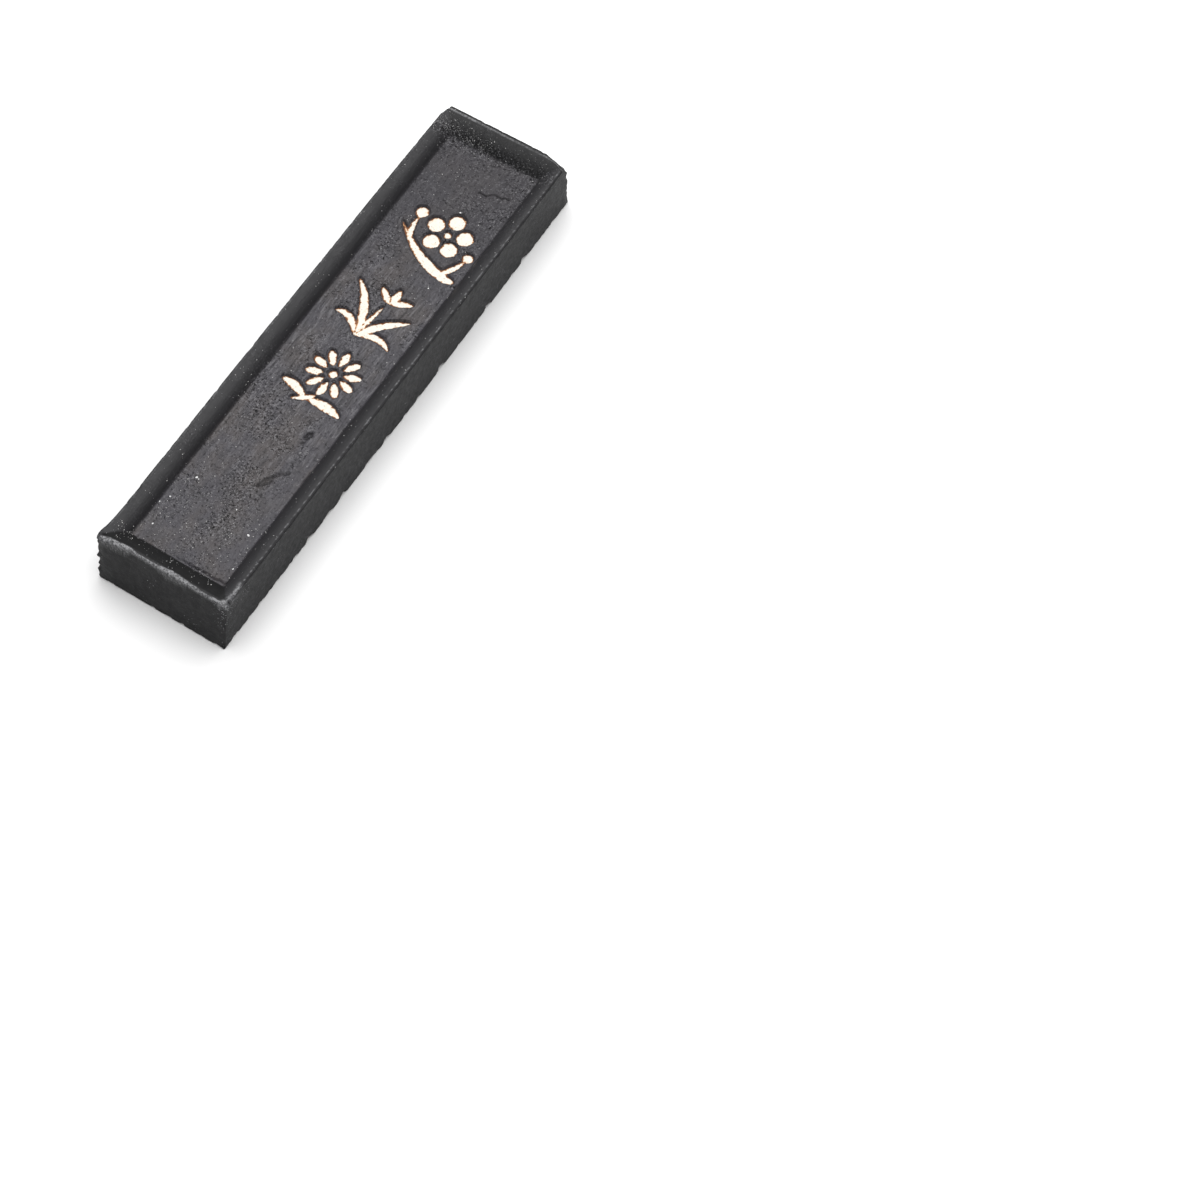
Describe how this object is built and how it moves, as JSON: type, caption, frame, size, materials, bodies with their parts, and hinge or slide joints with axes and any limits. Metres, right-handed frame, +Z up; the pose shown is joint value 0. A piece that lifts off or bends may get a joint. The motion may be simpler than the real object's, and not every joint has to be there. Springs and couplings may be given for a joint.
{
  "type": "ink stick",
  "caption": "Moulded rectangular ink stick with a raised border, a sunken panel and gilded floral ornaments in recesses.",
  "frame": {"origin": "centre of the flat underside that the stick rests on", "axes": "+Z up out of the ornamented face, +Y along the stick towards the top of the ornaments, +X across it to the right"},
  "size_m": [0.0224, 0.093, 0.0105],
  "materials": {
    "ink": "matt to satin moulded soot and glue, with a fine grain and pale worn rims",
    "gilding": "pale gold paint dried in the recesses, satin, browner at its edges"
  },
  "bodies": {
    "root": {"ink_cake": "ink", "plum_petal_gilding": "gilding", "plum_heart_gilding": "gilding", "plum_twig_gilding": "gilding", "orchid_leaf_gilding": "gilding", "orchid_flower_gilding": "gilding", "chrysanthemum_petal_gilding": "gilding", "chrysanthemum_heart_gilding": "gilding", "chrysanthemum_stem_gilding": "gilding"}
  },
  "joints": []
}
